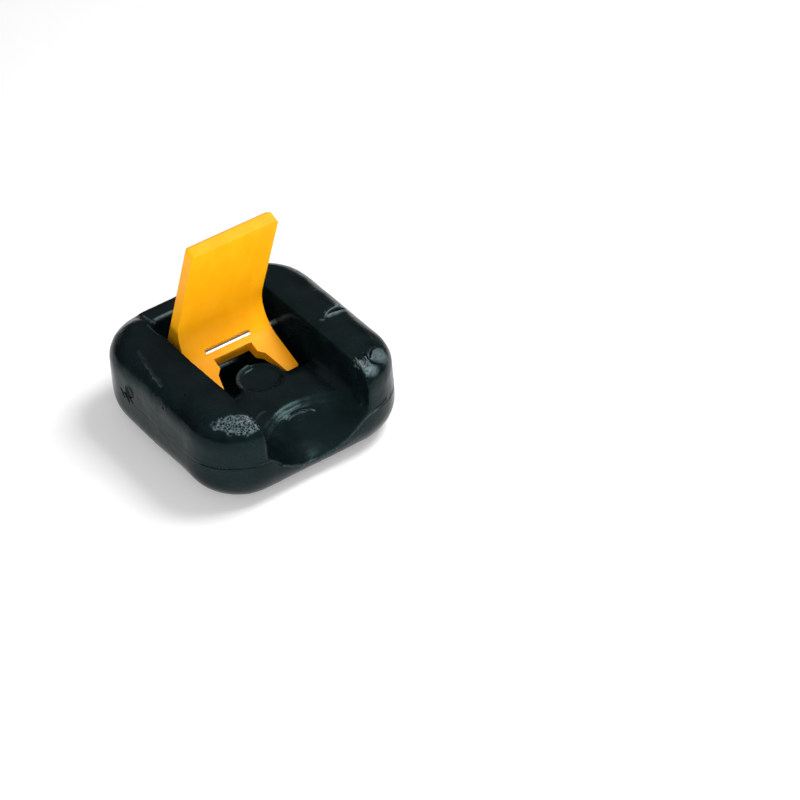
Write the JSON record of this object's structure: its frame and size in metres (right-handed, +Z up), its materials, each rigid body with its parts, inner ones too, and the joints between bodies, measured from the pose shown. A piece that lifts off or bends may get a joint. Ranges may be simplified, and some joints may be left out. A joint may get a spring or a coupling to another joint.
{
  "type": "diving weight",
  "caption": "Vinyl-coated lead weight for a diving belt, with a channel for the belt and a hinged latch that clamps it.",
  "frame": {"origin": "on the ground under the middle of the block", "axes": "+X across the belt channel, +Y along the belt from the finger scoop to the rear bar, +Z up"},
  "size_m": [0.102, 0.105, 0.0971],
  "materials": {
    "vinyl_coat": "dipped vinyl, glossy, lightly lumpy and pitted",
    "lead_core": "as-cast lead",
    "latch": "moulded acetal, satin gloss",
    "hinge_pin": "bright stainless steel",
    "pin_plug": "vinyl, satin"
  },
  "bodies": {
    "weight": {"vinyl_coat": "vinyl_coat", "lead_core": "lead_core", "hinge_pin": "hinge_pin", "pin_plug_left": "pin_plug", "pin_plug_right": "pin_plug"},
    "latch": {"latch": "latch"}
  },
  "joints": [
    {"name": "latch_hinge", "type": "hinge", "parent": "weight", "child": "latch", "pos_m": [0, 0.019, 0.028], "axis": [-1, 0, 0], "range_deg": [-76.2, 31]}
  ]
}
